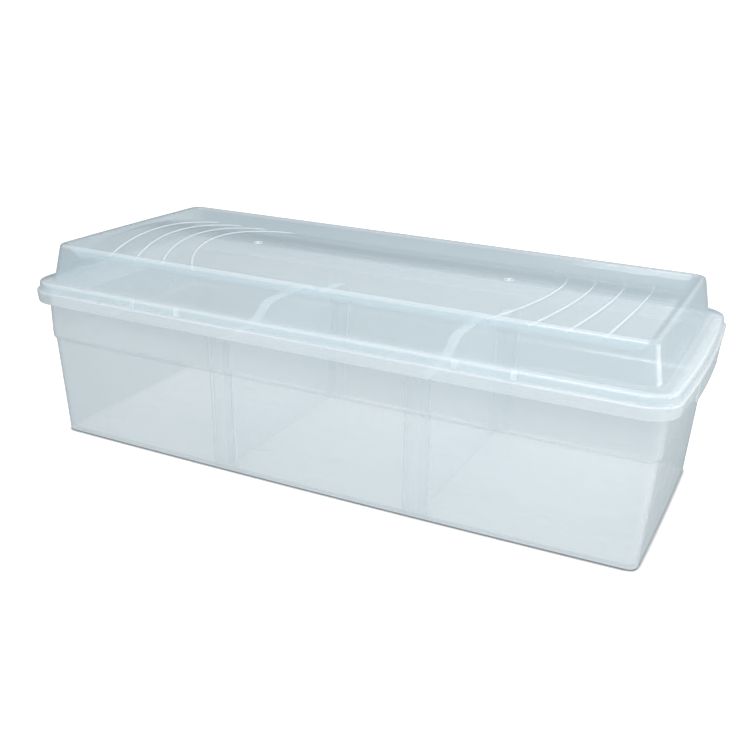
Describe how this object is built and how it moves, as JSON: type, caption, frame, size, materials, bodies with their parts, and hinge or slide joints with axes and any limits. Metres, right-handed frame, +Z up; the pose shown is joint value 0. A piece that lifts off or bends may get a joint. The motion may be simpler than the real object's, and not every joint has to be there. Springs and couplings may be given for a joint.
{
  "type": "divided storage box",
  "caption": "Long clear plastic storage box with a tall lift-off lid, end grips and loose dividers inside.",
  "frame": {"origin": "centre of the tub's flat underside", "axes": "+X along the box's length, towards the right end; +Y across it, towards the back; +Z up"},
  "size_m": [0.7674, 0.3388, 0.2382],
  "materials": {
    "tub_clear": "gloss",
    "lid_clear": "gloss",
    "divider_clear": "satin"
  },
  "bodies": {
    "tub": {"tub": "tub_clear"},
    "lid": {"lid": "lid_clear"},
    "divider_left": {"divider_left": "divider_clear"},
    "divider_right": {"divider_right": "divider_clear"}
  },
  "joints": [
    {"name": "lid_lift", "type": "slide", "parent": "tub", "child": "lid", "axis": [0, 0, 1], "range_m": [0, 0.32]},
    {"name": "divider_left_lift", "type": "slide", "parent": "tub", "child": "divider_left", "axis": [0, 0, 1], "range_m": [0, 0.2]},
    {"name": "divider_right_lift", "type": "slide", "parent": "tub", "child": "divider_right", "axis": [0, 0, 1], "range_m": [0, 0.2]}
  ],
  "couplings": [
    {"joint": "divider_left_lift", "follows": "lid_lift", "ratio": 0.62},
    {"joint": "divider_right_lift", "follows": "lid_lift", "ratio": 0.62}
  ]
}
